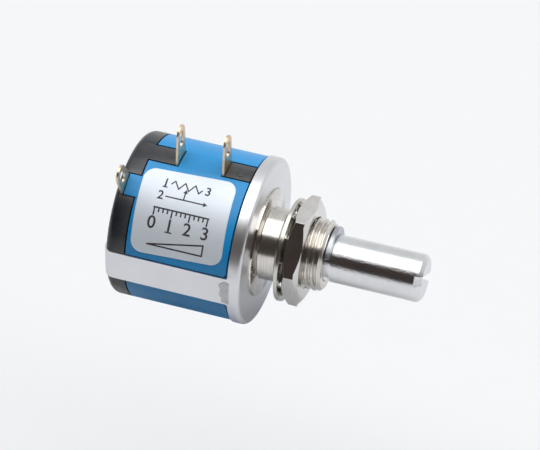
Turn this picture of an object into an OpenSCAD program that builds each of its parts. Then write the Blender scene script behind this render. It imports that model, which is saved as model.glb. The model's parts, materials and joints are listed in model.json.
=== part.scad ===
// Three-turn wirewound precision potentiometer with a threaded mounting bushing.
// The shaft lies along +X and the origin is on its axis at the face that meets the panel.
// Clock angles are turns about the shaft from the terminal line (+Z) towards -Y.

/* [Body] */
// Outer diameter of the moulded housing and rear cap
body_d = 22; // [21.4:0.1:23.4]
// Wall of the housing round the resistance element
housing_wall_t = 1.7; // [1.5:0.05:1.9]
// Length of the rear cap outside the housing
cap_l = 2.8; // [2.6:0.1:5]
// Radius of the rounded rear edge of the cap
cap_edge_r = 1; // [0.4:0.1:1.2]
// Thickness of the cap left behind the wiper terminal
cap_skin_t = 0.9; // [0.7:0.05:1.1]
// Length of the cap's spigot inside the housing
cap_spigot_l = 1; // [0.5:0.1:1.3]
// Wall of the cap's spigot
cap_spigot_t = 0.8; // [0.5:0.1:1]
// Gap between mating moulded and metal pieces
joint_gap = 0.05; // [0.03:0.01:0.08]

/* [Lid and legs] */
// How far the lid's rim stands out past the body
lid_overhang = 0.2; // [0:0.05:0.8]
// Thickness of the metal lid
lid_t = 1.65; // [1.3:0.05:2.5]
// Rounding of the lid's front edge
lid_edge_r = 0.6; // [0.2:0.1:0.9]
// Width of the two folded legs
leg_w = 4.35; // [3:0.05:5.5]
// Thickness of the legs
leg_t = 0.6; // [0.4:0.05:0.7]
// How far the flat outer face of a leg lies inside the body's radius
leg_sink = 0.05; // [-0.05:0.01:0.15]
// Inner radius of the fold over the cap edge
leg_bend_r = 0.8; // [0.4:0.1:1]
// How far the folded end stands proud of the cap's back
leg_proud = 0.25; // [0.2:0.05:0.3]
// Length of the folded end across the back
leg_fold_l = 3.2; // [2.4:0.1:4.5]
// Fillet between a leg and the lid rim
leg_fillet_r = 0.7; // [0.3:0.1:1]

/* [Bushing] */
// Diameter of the flange that seats on the panel
flange_d = 14.4; // [13:0.1:16]
// Thickness of the flange
flange_t = 1; // [0.8:0.05:1.2]
// How far the flange stands proud of the lid
flange_proud = 0.3; // [0.2:0.05:0.5]
// Diameter of the shank that passes through the lid
shank_d = 10.4; // [9.6:0.1:11]
// Width of the staked collar that holds the lid
stake_w = 0.7; // [0.4:0.05:0.9]
// Thickness of the staked collar
stake_t = 0.45; // [0.3:0.05:0.6]
// How far the plain barrel in front of the flange stands above the thread
barrel_step = 0.09; // [0.02:0.01:0.1]
// Length of the plain barrel
barrel_l = 2.35; // [2:0.05:2.4]
// Depth of the relief groove behind the thread
relief_depth = 0.46; // [0.2:0.02:0.6]
// Length of the relief groove
relief_l = 0.6; // [0.3:0.1:0.8]
// Major diameter of the mounting thread
thread_d = 9.525; // [9.4:0.005:9.53]
// Length of the bushing from the panel face to its end
bushing_l = 8.45; // [8.2:0.05:10]
// Chamfer at the front end of the thread
thread_chamfer = 0.45; // [0.2:0.05:0.6]
// Radial running clearance of the shaft in the bushing
shaft_clear = 0.03; // [0.02:0.01:0.06]

/* [Shaft] */
// Diameter of the control shaft
shaft_d = 6.34; // [6:0.01:6.36]
// Length of the shaft from the panel face to its end
shaft_l = 21.4; // [16:0.1:30]
// Chamfer at the shaft's end
shaft_chamfer = 0.5; // [0.2:0.05:0.8]
// Width of the screwdriver slot
slot_w = 1.2; // [0.8:0.05:1.6]
// Depth of the screwdriver slot
slot_depth = 1.3; // [0.8:0.1:2]
// Clock angle at which the screwdriver slot lies at rest
slot_clock = 57; // [0:1:180]
// Diameter of the shaft inside the rotor
inner_shaft_d = 4.4; // [4:0.1:4.8]
// Diameter of the rear journal
journal_d = 3; // [2.4:0.1:3.2]
// Depth of the retaining-ring groove
ring_groove_depth = 0.42; // [0.3:0.02:0.6]
// Outer diameter of the retaining ring
ring_d = 8.3; // [7.4:0.1:8.5]
// Thickness of the retaining ring
ring_t = 0.6; // [0.4:0.05:0.8]
// Clearance of the retaining ring from the bushing and its groove
ring_gap = 0.15; // [0.05:0.01:0.2]
// Angle that the retaining ring wraps round the shaft
ring_wrap = 225; // [200:5:300]
// Clock angle at which the ring's first end lies
ring_clock = 189; // [0:1:359]

/* [Nut and washer] */
// Distance across the flats of the mounting nut
nut_af = 12.7; // [11.5:0.1:14]
// Thickness of the mounting nut
nut_t = 2.3; // [2.1:0.05:2.6]
// How far the nut's chamfers cut into its flats
nut_edge = 0.15; // [0.05:0.05:0.2]
// How far the nut's front corners are cut back towards its axis
nut_corner_cut = 0.3; // [0.1:0.05:0.4]
// Length of the taper along the nut's front corners
nut_taper_l = 1.4; // [0.8:0.1:1.5]
// Clock angle of one corner of the nut
nut_clock = 20; // [0:1:59]
// Radial clearance of the nut on the thread
nut_clear = 0.05; // [0.03:0.01:0.08]
// Distance from the panel face to the back of the lock washer
washer_x = 2.9; // [2.8:0.05:3.6]
// Width of the lock washer's solid rim
washer_rim_w = 0.9; // [0.6:0.05:1.3]
// Length of the teeth inside the rim
washer_tooth_l = 0.73; // [0.5:0.01:1]
// Clearance of the teeth round the barrel
washer_clear = 0.4; // [0.4:0.05:0.6]
// How far the loose washer hangs below the shaft axis
washer_hang = 0.35; // [0:0.05:0.35]
// Thickness of the lock washer
washer_t = 0.5; // [0.4:0.05:0.6]
// Number of teeth inside the lock washer
washer_teeth = 12; // [8:1:14]
// Width of one washer tooth
washer_tooth_w = 1.5; // [1.1:0.1:1.6]
// Twist of the washer teeth
washer_twist = 18; // [8:1:24]

/* [Terminals] */
// Thickness of the terminals
lug_t = 0.3; // [0.25:0.05:0.4]
// Width of a terminal where it leaves the body
lug_root_w = 3.1; // [2.8:0.05:3.3]
// Width of a terminal at its rounded end
lug_tip_w = 2.5; // [2.2:0.05:2.6]
// Length of the end terminals outside the body
lug_l = 5.2; // [4.4:0.1:7]
// Length of the wiper terminal outside the body
wiper_lug_l = 4.4; // [3.8:0.1:6]
// Width of the eyelet in a terminal
eyelet_w = 1.2; // [0.8:0.05:1.4]
// Length of the eyelet in a terminal
eyelet_l = 2.3; // [1.8:0.05:2.6]
// Metal left between the eyelet and the tip
eyelet_edge = 0.85; // [0.6:0.05:0.9]
// Clock angle of the wiper terminal
wiper_lug_clock = 30; // [26:1:36]

/* [Resistance element] */
// Turns of the helix between the end terminals
element_turns = 3; // [2:1:5]
// Axial advance of the helix in one turn
element_pitch = 2.1; // [1.8:0.05:2.4]
// Length of the housing beyond each end terminal
element_end_l = 3.85; // [3.5:0.05:5]
// Diameter of the wound rod
element_rod_d = 1.2; // [1:0.05:1.2]
// Straight overrun of the rod past each end terminal, in degrees
element_overrun = 10; // [4:1:20]

/* [Rotor] */
// Radial space between the rotor's end flanges and the element
rotor_gap = 1.6; // [1.3:0.05:2]
// Height of the end flanges above the rotor's waist
rotor_rim_h = 0.7; // [0.4:0.05:1.1]
// Thickness of the rotor's end flanges
rotor_flange_t = 1.3; // [1:0.05:1.5]
// Space behind the rotor, in front of the rear bearing
rotor_rear_gap = 1.03; // [0.8:0.01:1.3]
// Width of the lengthwise guide slot
guide_w = 2.6; // [2.2:0.05:3]
// Wall left between the guide slot and the shaft
guide_wall_t = 1.1; // [0.9:0.05:1.2]
// Diameter of the cross pin that locks the rotor to the shaft
pin_d = 0.9; // [0.7:0.05:1]
// How far the pin's ends lie under the rotor's waist
pin_inset = 0.7; // [0.2:0.05:1]
// Thickness of the slip ring
slip_t = 0.4; // [0.3:0.05:0.5]
// How far the slip ring reaches in past the rail's foot
slip_lap = 0.1; // [0.05:0.01:0.2]
// Radial distance from the rotor's rim in to the slip ring
slip_inset = 1; // [0.7:0.05:1.4]
// Thickness of the collector rail on the slot floor
rail_t = 0.3; // [0.2:0.05:0.35]
// Width of the collector rail
rail_w = 1; // [0.8:0.1:1.4]

/* [Wiper] */
// Length of the carriage along the rotor
carriage_l = 3; // [2.8:0.05:3.1]
// Clearance of the carriage in its guide slot
carriage_clear = 0.05; // [0.03:0.01:0.08]
// Radial space between the carriage and the element
carriage_drop = 0.8; // [0.7:0.05:1]
// Space between the carriage and the collector rail
carriage_lift = 0.35; // [0.3:0.05:0.4]
// Thickness of the fingers that straddle the element
finger_t = 0.45; // [0.3:0.05:0.5]
// Thickness of the contact springs
spring_t = 0.12; // [0.08:0.01:0.15]
// Running gap left at each sliding contact
contact_gap = 0.05; // [0.03:0.01:0.06]

/* [Bearing and washers] */
// Outer diameter of the rear bearing
bearing_d = 4.6; // [4.2:0.1:5]
// Length of the rear bearing
bearing_l = 1.9; // [1.4:0.1:2]
// Diameter of the bearing's front flange
bearing_flange_d = 5.8; // [5.6:0.1:6.4]
// Thickness of the bearing's front flange
bearing_flange_t = 0.3; // [0.2:0.05:0.4]
// Thickness of the thrust washer and of the shim washer
thrust_t = 0.4; // [0.3:0.02:0.4]
// Outer diameter of the thrust washer and of the shim washer
thrust_d = 10; // [8.6:0.1:11]
// Thickness of the insulating ring behind the lid
insulator_t = 0.8; // [0.5:0.05:1.2]
// Clearance of the insulating ring round the staked collar
insulator_clear = 0.4; // [0.1:0.05:0.8]

/* [Label] */
// Length of the label along the body
label_l = 12.3; // [9:0.1:12.6]
// Width of the label across the body, straight across its corners
label_w = 11; // [8:0.1:11.2]
// Corner radius of the label
label_corner_r = 1.5; // [0.5:0.1:2.5]
// Thickness of the label
label_t = 0.08; // [0.05:0.01:0.1]
// How far the label's middle lies behind the middle of the housing
label_shift = 0.4; // [0:0.05:0.6]
// Clock angle of the label's middle
label_clock = 42.7; // [40:0.1:46]
// Skew of the label on the body
label_skew = 2.5; // [-3:0.1:3]

/* [Hidden] */
$fn = 96;
// Overshoot of a cut past the face that it opens
cut = 1;
// Small lap that keeps joined solids of one piece together
lap = 0.01;
// Stations along the shaft, from the front to the rear
element_span = element_turns * element_pitch;
housing_l = element_span + 2 * element_end_l;
lid_front_x = -flange_proud;
lid_back_x = lid_front_x - lid_t;
cap_joint_x = lid_back_x - housing_l;
cap_back_x = cap_joint_x - cap_l;
cap_inner_x = cap_back_x + cap_skin_t + lug_t;
stake_back_x = lid_back_x - stake_t;
element_mid_x = (lid_back_x + cap_joint_x) / 2;
terminal_1_x = element_mid_x - element_span / 2;
terminal_3_x = element_mid_x + element_span / 2;
// End play shared by the two washers between the bushing and the rotor
end_play = 0.04;
rotor_front_x = stake_back_x - 2 * thrust_t - 3 * end_play;
rotor_back_x = cap_inner_x + bearing_l + rotor_rear_gap;
slip_face_x = rotor_back_x - slip_t / 2;
// Radii of the body and the legs
body_r = body_d / 2;
bore_r = body_r - housing_wall_t;
lid_r = body_r + lid_overhang;
leg_face_r = body_r - leg_sink;
leg_inner_r = leg_face_r - leg_t;
leg_back_x = cap_back_x - leg_proud;
leg_fold_x = leg_back_x + leg_t;
leg_end_r = leg_face_r - leg_fold_l;
flat_r = leg_inner_r - joint_gap / 2;
// Radii of the bushing, the washer and the insulating ring
shank_r = shank_d / 2;
stake_r = shank_r + stake_w;
thread_r = thread_d / 2;
barrel_r = thread_r + barrel_step;
washer_in_r = barrel_r + washer_clear;
washer_rim_r = washer_in_r + washer_tooth_l;
washer_r = washer_rim_r + washer_rim_w;
insulator_inner_r = stake_r + insulator_clear;
// Slots in the housing wall that the terminals stand in
slot_lug_w = lug_root_w + 2 * joint_gap;
lug_tip_r = body_r + lug_l;
wiper_lug_tip_r = body_r + wiper_lug_l;
// Length of the housing tongue that reaches back to the wiper terminal
tongue_l = cap_joint_x - cap_inner_x;
// Radius at which the cap wall lies under the housing tongue
notch_r = bore_r + 0.63;
// The wound rod touches the bore but for the joint gap
rod_r = element_rod_d / 2;
element_r = bore_r - 2 * joint_gap - rod_r;
lug_foot_r = element_r + rod_r + joint_gap / 2;
lug_foot_w = lug_root_w / 2;
// Shaft details
shaft_r = shaft_d / 2;
ring_x = bushing_l + ring_gap;
groove_w = ring_t + 0.1;
journal_x = rotor_back_x - slip_t - 0.2;
shaft_back_x = cap_inner_x + 0.35;
pin_x = rotor_back_x + slip_t / 2 + 0.3 + pin_d;
// Rotor and carriage
rod_inner_r = element_r - rod_r;
rotor_r = rod_inner_r - rotor_gap;
rotor_waist_r = rotor_r - rotor_rim_h;
guide_l = element_span + carriage_l + 0.3;
guide_floor_r = inner_shaft_d / 2 + guide_wall_t;
slip_inner_r = guide_floor_r - slip_lap;
slip_r = rotor_r - slip_inset;
carriage_foot_r = guide_floor_r + rail_t + carriage_lift;
carriage_top_r = rod_inner_r - carriage_drop;
// A rod of straight facets lies this much closer to the axis
facets_per_turn = 48;
rod_facet_r = rod_inner_r * cos(180 / facets_per_turn);
finger_x = element_pitch / 2;
nut_x = washer_x + washer_t + washer_tooth_w * sin(washer_twist) / 2 + 0.12;

// Turns a solid drawn along Z so that it lies along the shaft
module along_shaft(x = 0) {
  translate([x, 0, 0]) rotate([0, 90, 0]) children();
}

// Turns a solid drawn towards +Z to a clock angle
module at_clock(angle) {
  rotate([angle, 0, 0]) children();
}

// Round bar or tube along the shaft between two stations
module tube_x(x0, x1, r_outer, r_inner = 0) {
  along_shaft(x0) difference() {
    cylinder(h = x1 - x0, r = r_outer);
    if (r_inner > 0) translate([0, 0, -cut]) cylinder(h = x1 - x0 + 2 * cut, r = r_inner);
  }
}

// Straight block above the axis, centred across it
module block_up(x0, x1, w, z0, z1) {
  translate([x0, -w / 2, z0]) cube([x1 - x0, w, z1 - z0]);
}

// Section in the plane of the shaft and +Z, given width across that plane
module across(w) {
  rotate([90, 0, 0]) linear_extrude(w, center = true) children();
}

// Section drawn square to the shaft, given thickness along it: flat x is +Y and flat y is +Z
module plate_x(x0, t) {
  translate([x0, 0, 0]) rotate([90, 0, 90]) linear_extrude(t) children();
}

// Rectangle with four rounded corners about the origin
module rounded_rect(l, w, r) {
  square([l - 2 * r, w], center = true);
  square([l, w - 2 * r], center = true);
  for (sx = [-1, 1], sy = [-1, 1])
    translate([sx * (l / 2 - r), sy * (w / 2 - r)]) circle(r);
}

// Side section of a folded leg: strap, bend and the end that lies on the cap's back
module leg_section() {
  bend_out_r = leg_bend_r + leg_t;
  bend_x = leg_back_x + bend_out_r;
  bend_z = leg_face_r - bend_out_r;
  translate([bend_x, leg_inner_r]) square([lid_back_x + lid_t / 2 - bend_x, leg_t]);
  translate([leg_back_x, leg_end_r]) square([leg_t, bend_z - leg_end_r]);
  intersection() {
    translate([bend_x, bend_z]) difference() {
      circle(bend_out_r);
      circle(leg_bend_r);
    }
    translate([leg_back_x, bend_z]) square([bend_out_r, bend_out_r]);
  }
}

// Two fillets in the corners between a leg and the lid rim
module leg_fillets() {
  for (side = [-1, 1])
    translate([lid_back_x, side * leg_w / 2, leg_inner_r]) linear_extrude(leg_t)
      difference() {
        translate([-leg_fillet_r, side < 0 ? -leg_fillet_r : -lap])
          square([leg_fillet_r + lap, leg_fillet_r + lap]);
        translate([-leg_fillet_r, side * leg_fillet_r]) circle(leg_fillet_r);
      }
}

// Pressed lid with a seat for the flange and two legs that fold over the cap
module front_lid() {
  color("#c9ccd0") difference() {
    union() {
      along_shaft(lid_back_x) rotate_extrude() {
        square([lid_r, lid_t - lid_edge_r]);
        square([lid_r - lid_edge_r, lid_t]);
        translate([lid_r - lid_edge_r, lid_t - lid_edge_r]) circle(lid_edge_r);
      }
      for (side = [-1, 1]) at_clock(side * 90) {
        across(leg_w) leg_section();
        leg_fillets();
      }
    }
    along_shaft(lid_back_x - cut) cylinder(h = lid_t + 2 * cut, r = shank_r + lap);
    along_shaft(-flange_t) cylinder(h = flange_t + cut, r = flange_d / 2 + joint_gap);
  }
}

// Turned bushing staked into the lid
module bushing() {
  thread_x = barrel_l + relief_l;
  relief_r = thread_r - relief_depth;
  color("#b9aea0") along_shaft() rotate_extrude() polygon([
    [shaft_r + shaft_clear, stake_back_x],
    [stake_r, stake_back_x],
    [stake_r, lid_back_x],
    [shank_r, lid_back_x],
    [shank_r, -flange_t],
    [flange_d / 2, -flange_t],
    [flange_d / 2, 0],
    [barrel_r, 0],
    [barrel_r, barrel_l],
    [relief_r, barrel_l],
    [relief_r, thread_x],
    [thread_r, thread_x + relief_depth],
    [thread_r, bushing_l - thread_chamfer],
    [thread_r - thread_chamfer, bushing_l],
    [shaft_r + shaft_clear, bushing_l]]);
}

// Channels that the two legs lie in, cut to a given depth behind the fold
module leg_channels(x0, x1) {
  for (side = [-1, 1]) at_clock(side * 90)
    block_up(x0, x1, leg_w + 2 * joint_gap, flat_r, lid_r + cut);
}

// Moulded tube with slots for the end terminals and a tongue at the wiper terminal
module housing() {
  slot_1_x = terminal_1_x + lug_t / 2 + joint_gap / 2;
  slot_3_x = terminal_3_x - lug_t / 2 - joint_gap / 2;
  color("#2f7fc4") difference() {
    union() {
      tube_x(cap_joint_x, lid_back_x, body_r, bore_r);
      intersection() {
        tube_x(cap_joint_x - tongue_l, cap_joint_x + lap, body_r, notch_r + joint_gap);
        at_clock(wiper_lug_clock)
          block_up(cap_joint_x - tongue_l, cap_joint_x + lap, slot_lug_w - 2 * joint_gap, 0, lid_r);
      }
    }
    leg_channels(cap_joint_x - cut, lid_back_x + cut);
    for (side = [-1, 1]) at_clock(side * 90)
      block_up(lid_back_x - leg_fillet_r - joint_gap, lid_back_x + cut,
        leg_w + 2 * leg_fillet_r + 2 * joint_gap, flat_r, lid_r + cut);
    block_up(cap_joint_x - cut, slot_1_x, slot_lug_w, bore_r - cut, lid_r);
    block_up(slot_3_x, lid_back_x + cut, slot_lug_w, bore_r - cut, lid_r);
  }
}

// Space that the fold of a leg needs in the rear edge and back of the cap
module fold_recess() {
  w = leg_w + 2 * joint_gap;
  floor_x = leg_fold_x + joint_gap / 2;
  end_r = leg_end_r - joint_gap;
  across(w) difference() {
    translate([cap_back_x - cut, end_r]) square([cap_joint_x - cap_back_x + 2 * cut, lid_r + cut - end_r]);
    translate([floor_x, 0]) square([cap_l + 3 * cut, flat_r - leg_bend_r]);
    translate([floor_x + leg_bend_r, 0]) square([cap_l + 3 * cut, flat_r]);
    translate([floor_x + leg_bend_r, flat_r - leg_bend_r]) circle(leg_bend_r);
  }
}

// Moulded cup with a spigot, a hub for the rear bearing and a tongue at terminal 1
module rear_cap() {
  inner_r = bore_r - cap_spigot_t;
  spigot_x = cap_joint_x + cap_spigot_l;
  tongue_end_x = terminal_1_x - lug_t / 2;
  hub_l = bearing_l - bearing_flange_t;
  color("#26272b") difference() {
    union() {
      intersection() {
        along_shaft(cap_back_x) rotate_extrude() {
          translate([0, cap_edge_r]) square([body_r, tongue_end_x - cap_back_x - cap_edge_r]);
          square([body_r - cap_edge_r, cap_l]);
          translate([body_r - cap_edge_r, cap_edge_r]) circle(cap_edge_r);
        }
        union() {
          along_shaft(cap_back_x - cut) cylinder(h = cap_l + cut, r = lid_r + cut);
          block_up(cap_joint_x - lap, tongue_end_x, slot_lug_w - 2 * joint_gap, bore_r, lid_r);
        }
      }
      tube_x(cap_joint_x - lap, spigot_x, bore_r - joint_gap / 2, inner_r);
    }
    difference() {
      along_shaft(cap_inner_x) cylinder(h = cap_l + cap_spigot_l + cut, r = inner_r);
      along_shaft(cap_inner_x - cut) cylinder(h = hub_l + cut, r = bearing_flange_d / 2 + 0.4);
    }
    along_shaft(cap_inner_x) cylinder(h = cap_l + cut, r = bearing_d / 2 + lap);
    for (side = [-1, 1]) at_clock(side * 90) fold_recess();
    intersection() {
      tube_x(cap_joint_x - tongue_l - joint_gap / 2, cap_joint_x + cut, lid_r, notch_r);
      at_clock(wiper_lug_clock)
        block_up(cap_joint_x - tongue_l - joint_gap / 2, cap_joint_x + cut, slot_lug_w, 0, lid_r);
    }
    at_clock(wiper_lug_clock)
      block_up(cap_inner_x - lug_t - lap, cap_inner_x + lap, slot_lug_w, bearing_flange_d / 2 + 0.6, lid_r);
  }
}

// Moulded ring behind the lid with a tab that fills the slot in front of terminal 3
module front_insulator() {
  color("#26272b") {
    tube_x(lid_back_x - insulator_t, lid_back_x, bore_r - joint_gap / 2, insulator_inner_r);
    intersection() {
      tube_x(terminal_3_x + lug_t / 2, lid_back_x, body_r, bore_r - joint_gap);
      block_up(terminal_3_x + lug_t / 2, lid_back_x, slot_lug_w - 2 * joint_gap, 0, lid_r);
    }
  }
}

// Foil sticker wrapped on the housing
module label() {
  color("#e9edf2") intersection() {
    tube_x(cap_joint_x - cut, lid_back_x, body_r + label_t, body_r);
    at_clock(label_clock) translate([element_mid_x - label_shift, 0, 0]) rotate([0, 0, label_skew])
      linear_extrude(lid_r + cut) rounded_rect(label_l, label_w, label_corner_r);
  }
}

// Outline of a terminal above the axis, with its eyelet
module lug_outline(tip_r, foot_r) {
  tip_z = tip_r - lug_tip_w / 2;
  eye_r = eyelet_w / 2;
  eye_top_z = tip_r - eyelet_edge - eye_r;
  eye_low_z = tip_r - eyelet_edge - eyelet_l + eye_r;
  difference() {
    union() {
      polygon([[-lug_root_w / 2, body_r], [lug_root_w / 2, body_r],
        [lug_tip_w / 2, tip_z], [-lug_tip_w / 2, tip_z]]);
      translate([0, tip_z]) circle(lug_tip_w / 2);
      translate([-lug_root_w / 2, bore_r + joint_gap]) square([lug_root_w, body_r - bore_r]);
      translate([-lug_foot_w / 2, foot_r]) square([lug_foot_w, body_r - foot_r]);
    }
    translate([0, eye_top_z]) circle(eye_r);
    translate([0, eye_low_z]) circle(eye_r);
    translate([-eye_r, eye_low_z]) square([eyelet_w, eye_top_z - eye_low_z]);
  }
}

module terminal_1() {
  color("#d9b56a") plate_x(terminal_1_x - lug_t / 2, lug_t) lug_outline(lug_tip_r, lug_foot_r);
}

module terminal_3() {
  color("#d9b56a") plate_x(terminal_3_x - lug_t / 2, lug_t) lug_outline(lug_tip_r, lug_foot_r);
}

// The wiper terminal lies in a groove in the cap and reaches in beside the hub
module terminal_2() {
  foot_r = bearing_flange_d / 2 + 1.8;
  color("#d9b56a") at_clock(wiper_lug_clock)
    plate_x(cap_inner_x - lug_t, lug_t) lug_outline(wiper_lug_tip_r, foot_r);
}

// Ring of points round the wound rod at one place on its helix
function rod_ring(turned, sides) =
  let (x = terminal_1_x + element_pitch * turned / 360)
  [for (i = [0 : sides - 1])
    let (a = 360 * i / sides, r = element_r + rod_r * cos(a))
    [x + rod_r * sin(a), r * sin(turned), r * cos(turned)]];

// Rod wound with wire, lying in a helix against the bore from terminal 1 to terminal 3
module resistance_element() {
  sides = 8;
  steps = element_turns * facets_per_turn;
  turns_at = concat([-element_overrun],
    [for (i = [0 : steps]) 360 * element_turns * i / steps],
    [360 * element_turns + element_overrun]);
  rings = len(turns_at);
  points = [for (t = turns_at) each rod_ring(t, sides)];
  walls = [for (k = [0 : rings - 2], i = [0 : sides - 1])
    let (a = k * sides + i, b = k * sides + (i + 1) % sides)
    each [[a, b, b + sides], [a, b + sides, a + sides]]];
  first = [for (i = [sides - 1 : -1 : 0]) i];
  last = [for (i = [0 : sides - 1]) (rings - 1) * sides + i];
  color("#b87b4a") polyhedron(points, concat([first], walls, [last]));
}

// Outline of a thin spring along a path of corners, given its thickness
function side_step(p, q, t) = let (d = q - p) [-d[1], d[0]] / norm(d) * t / 2;
function strip_side(path, t) = [for (i = [0 : len(path) - 1])
  let (a = side_step(path[max(i - 1, 0)], path[max(i, 1)], t),
    b = side_step(path[min(i, len(path) - 2)], path[min(i + 1, len(path) - 1)], t))
  path[i] + (a + b) * t * t / 4 / (t * t / 4 + a * b)];
module strip(path, t) {
  back = strip_side(path, -t);
  polygon(concat(strip_side(path, t), [for (i = [len(path) - 1 : -1 : 0]) back[i]]));
}

// Leaf spring on the wiper terminal that rubs the slip ring
module collector_brush() {
  rest_x = cap_inner_x + spring_t / 2 + lap;
  touch_x = slip_face_x - contact_gap - spring_t / 2;
  rub_r = (slip_r + slip_inner_r) / 2;
  foot_r = bearing_flange_d / 2 + 2;
  color("#c98f5a") at_clock(wiper_lug_clock) across(lug_foot_w - 0.3) strip([
    [rest_x, bore_r - cap_spigot_t - 0.3], [rest_x, foot_r], [touch_x - 0.4, rub_r + 0.5],
    [touch_x, rub_r + 0.15], [touch_x, rub_r - 0.15], [touch_x - 0.4, rub_r - 0.5]], spring_t);
}

// Flanged bush that carries the rear journal
module rear_bearing() {
  back_x = cap_inner_x + 0.1;
  flange_x = cap_inner_x + bearing_l - bearing_flange_t + lap;
  color("#b08d57") difference() {
    union() {
      tube_x(back_x, flange_x + bearing_flange_t, bearing_d / 2);
      tube_x(flange_x, flange_x + bearing_flange_t, bearing_flange_d / 2);
    }
    tube_x(back_x - cut, flange_x + bearing_flange_t + cut, journal_d / 2 + shaft_clear);
  }
}

module thrust_washer() {
  x0 = stake_back_x - end_play - thrust_t;
  color("#c9ccd0") tube_x(x0, x0 + thrust_t, thrust_d / 2, shaft_r + 0.08);
}

module shim_washer() {
  x0 = stake_back_x - 2 * end_play - 2 * thrust_t;
  color("#c2a878") tube_x(x0, x0 + thrust_t, thrust_d / 2, shaft_r + 0.08);
}

// Turned shaft from the rear journal to the slotted end
module shaft() {
  groove_r = shaft_r - ring_groove_depth;
  color("#c4c7cb") difference() {
    along_shaft() rotate_extrude() polygon([
      [0, shaft_back_x],
      [journal_d / 2 - 0.2, shaft_back_x],
      [journal_d / 2, shaft_back_x + 0.2],
      [journal_d / 2, journal_x],
      [inner_shaft_d / 2, journal_x],
      [inner_shaft_d / 2, rotor_front_x],
      [shaft_r, rotor_front_x],
      [shaft_r, ring_x - 0.05],
      [groove_r, ring_x - 0.05],
      [groove_r, ring_x - 0.05 + groove_w],
      [shaft_r, ring_x - 0.05 + groove_w],
      [shaft_r, shaft_l - shaft_chamfer],
      [shaft_r - shaft_chamfer, shaft_l],
      [0, shaft_l]]);
    at_clock(slot_clock) translate([shaft_l - slot_depth, -slot_w / 2, -shaft_d])
      cube([slot_depth + cut, slot_w, 2 * shaft_d]);
    translate([pin_x, 0, 0]) rotate([90, 0, 0]) cylinder(h = shaft_d, d = pin_d, center = true);
  }
}

// Moulded drum with end flanges, a guide slot and seats for the rail and the slip ring
module rotor() {
  color("#d8c9a3") difference() {
    union() {
      tube_x(rotor_back_x, rotor_front_x, rotor_waist_r);
      tube_x(rotor_back_x, rotor_back_x + rotor_flange_t, rotor_r);
      tube_x(rotor_front_x - rotor_flange_t, rotor_front_x, rotor_r);
    }
    tube_x(rotor_back_x - cut, rotor_front_x + cut, inner_shaft_d / 2 + lap);
    tube_x(rotor_back_x - cut, rotor_back_x + slip_t / 2, slip_r + joint_gap, slip_inner_r - joint_gap);
    at_clock(180) block_up(element_mid_x - guide_l / 2, element_mid_x + guide_l / 2, guide_w,
      guide_floor_r, rotor_r + cut);
    at_clock(180) block_up(rotor_back_x - cut, element_mid_x, rail_w + 2 * lap,
      guide_floor_r, guide_floor_r + rail_t + lap);
    translate([pin_x, 0, 0]) rotate([90, 0, 0])
      cylinder(h = 2 * rotor_r + cut, d = pin_d + 2 * lap, center = true);
  }
}

module rotor_pin() {
  color("#8f9398") translate([pin_x, 0, 0]) rotate([90, 0, 0])
    cylinder(h = 2 * (rotor_waist_r - pin_inset), d = pin_d - lap, center = true);
}

// Rail along the floor of the guide slot, ending at the slip ring
module collector_rail() {
  color("#d9b56a") at_clock(180) block_up(rotor_back_x + slip_t / 2, element_mid_x + guide_l / 2 - lap,
    rail_w, guide_floor_r, guide_floor_r + rail_t);
}

module slip_ring() {
  color("#d9b56a") tube_x(slip_face_x, slip_face_x + slip_t, slip_r, slip_inner_r);
}

// Open ring in the shaft groove
module retaining_ring() {
  inner_r = shaft_r - ring_groove_depth + lap;
  color("#aeb4bb") at_clock(ring_clock) along_shaft(ring_x) rotate([0, 0, 180])
    rotate_extrude(angle = ring_wrap) translate([inner_r, 0]) square([ring_d / 2 - inner_r, ring_t]);
}

// Block in the guide slot with two fingers that straddle the element
module wiper_carriage() {
  x0 = element_mid_x - carriage_l / 2;
  finger_end_r = element_r - 0.1;
  color("#e8e4da") at_clock(180) {
    block_up(x0, x0 + carriage_l, guide_w - 2 * carriage_clear, carriage_foot_r, carriage_top_r);
    for (side = [-1, 1])
      block_up(element_mid_x + side * finger_x - finger_t / 2, element_mid_x + side * finger_x + finger_t / 2,
        1, carriage_top_r - lap, finger_end_r);
  }
}

// Arched spring on the carriage whose crown touches the element
module wiper_contact() {
  base_z = carriage_top_r + spring_t / 2 + lap;
  crown_z = rod_facet_r - contact_gap - spring_t / 2;
  w = 2 * finger_x - finger_t - 0.6;
  half = guide_w / 2 - carriage_clear;
  color("#c98f5a") at_clock(180) plate_x(element_mid_x - w / 2, w) strip([
    [-half + 0.05, base_z], [-0.75, base_z], [-0.25, crown_z], [0.25, crown_z],
    [0.75, base_z], [half - 0.05, base_z]], spring_t);
}

// Arched spring under the carriage whose crown touches the rail
module rail_contact() {
  base_z = carriage_foot_r - spring_t / 2 - lap;
  crown_z = guide_floor_r + rail_t + contact_gap + spring_t / 2;
  half = carriage_l / 2 - 0.2;
  color("#c98f5a") at_clock(180) translate([element_mid_x, 0, 0]) across(rail_w - 0.2) strip([
    [-half, base_z], [-0.7, base_z], [-0.25, crown_z], [0.25, crown_z],
    [0.7, base_z], [half, base_z]], spring_t);
}

// Flat ring with teeth twisted out of its plane
module lock_washer() {
  color("#bfc2c4") translate([0, 0, -washer_hang]) {
    tube_x(washer_x, washer_x + washer_t, washer_r, washer_rim_r);
    for (i = [0 : washer_teeth - 1]) at_clock(360 * i / washer_teeth)
      translate([washer_x + washer_t / 2, 0, 0]) rotate([0, 0, washer_twist])
        translate([-washer_t / 2, -washer_tooth_w / 2, washer_in_r])
          cube([washer_t, washer_tooth_w, washer_tooth_l + washer_rim_w / 3]);
  }
}

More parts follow.
